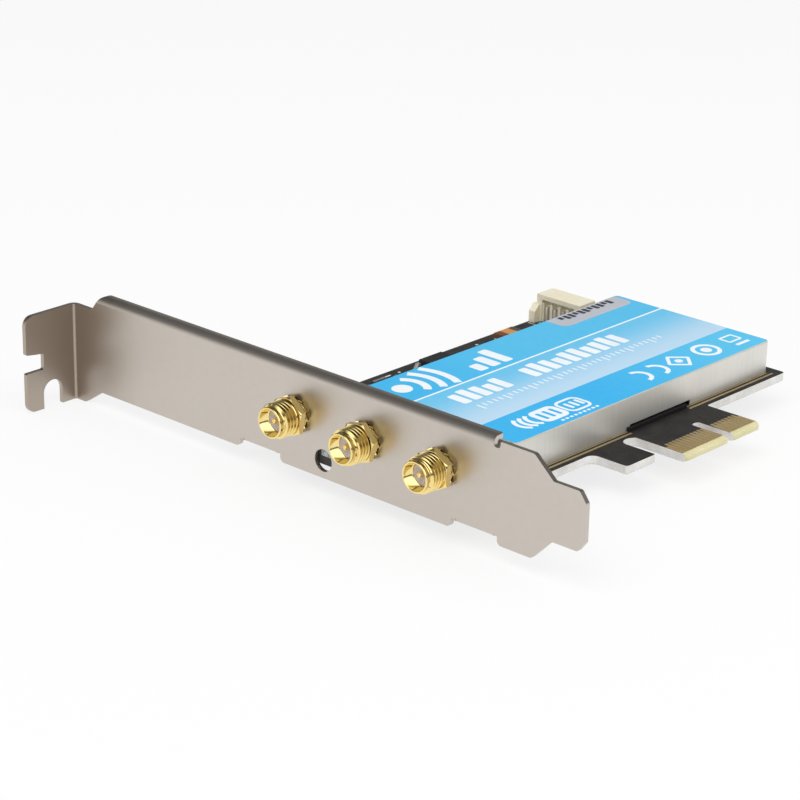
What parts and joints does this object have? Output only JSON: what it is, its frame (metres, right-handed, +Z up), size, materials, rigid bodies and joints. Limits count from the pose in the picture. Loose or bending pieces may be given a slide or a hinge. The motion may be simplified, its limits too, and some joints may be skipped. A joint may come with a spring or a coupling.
{
  "type": "pcie wifi card",
  "caption": "Flat expansion card with a folded slot bracket, threaded gold aerial jacks, a shielded radio under a blue label and a keyed edge connector.",
  "frame": {"origin": "corner where the seat plane of the bracket's tab, the plate's outer face and the plate's lower edge meet", "axes": "+X along the bracket from the tab to the tongue, +Y from the plate's outer face into the card, +Z up from the board's underside to its component side"},
  "size_m": [0.1209, 0.1018, 0.0214],
  "materials": {
    "bracket_metal": "satin nickel-plated sheet",
    "board": "black solder mask over glass laminate",
    "gold_contacts": "gold plate",
    "gold_jack": "polished gold plate",
    "insulator": "translucent white",
    "screw_metal": "bright nickel",
    "tin": "bright tin plate",
    "label_print": "glossy printed film",
    "module_mask": "green solder mask",
    "socket_plastic": "black moulded",
    "header_plastic": "cream moulded",
    "cable_jacket": "smooth jacket",
    "lamp": "clear moulded resin",
    "mould_compound": "black epoxy",
    "tantalum_resin": "yellow epoxy",
    "ceramic": "tan ceramic"
  },
  "bodies": {
    "root": {"bracket": "bracket_metal", "bracket_screws": "screw_metal", "circuit_board": "board", "edge_contacts": "gold_contacts", "ground_trace": "gold_contacts", "jack_body_1": "gold_jack", "jack_body_2": "gold_jack", "jack_body_3": "gold_jack", "jack_insulator_1": "insulator", "jack_insulator_2": "insulator", "jack_insulator_3": "insulator", "jack_pin_1": "gold_contacts", "jack_pin_2": "gold_contacts", "jack_pin_3": "gold_contacts", "jack_nut_1": "gold_jack", "jack_nut_2": "gold_jack", "jack_nut_3": "gold_jack", "lock_washer_1": "gold_jack", "lock_washer_2": "gold_jack", "lock_washer_3": "gold_jack", "crimp_ferrule_1": "gold_jack", "crimp_ferrule_2": "gold_jack", "crimp_ferrule_3": "gold_jack", "antenna_cable_1": "cable_jacket", "antenna_cable_2": "cable_jacket", "antenna_cable_3": "cable_jacket", "cable_plugs": "gold_contacts", "module_receptacles": "gold_contacts", "module_board": "module_mask", "module_shield": "tin", "module_contacts": "gold_contacts", "module_standoffs": "screw_metal", "module_screws": "screw_metal", "module_socket": "socket_plastic", "socket_contacts": "gold_contacts", "shield_can": "tin", "label": "label_print", "header_housing": "header_plastic", "header_pins": "tin", "header_anchors": "tin", "status_led": "lamp", "led_terminals": "tin", "voltage_regulator": "mould_compound", "regulator_leads": "tin", "tantalum_capacitor": "tantalum_resin", "tantalum_terminals": "tin", "ceramic_capacitors": "ceramic", "chip_resistors": "mould_compound", "chip_terminals": "tin"}
  },
  "joints": []
}
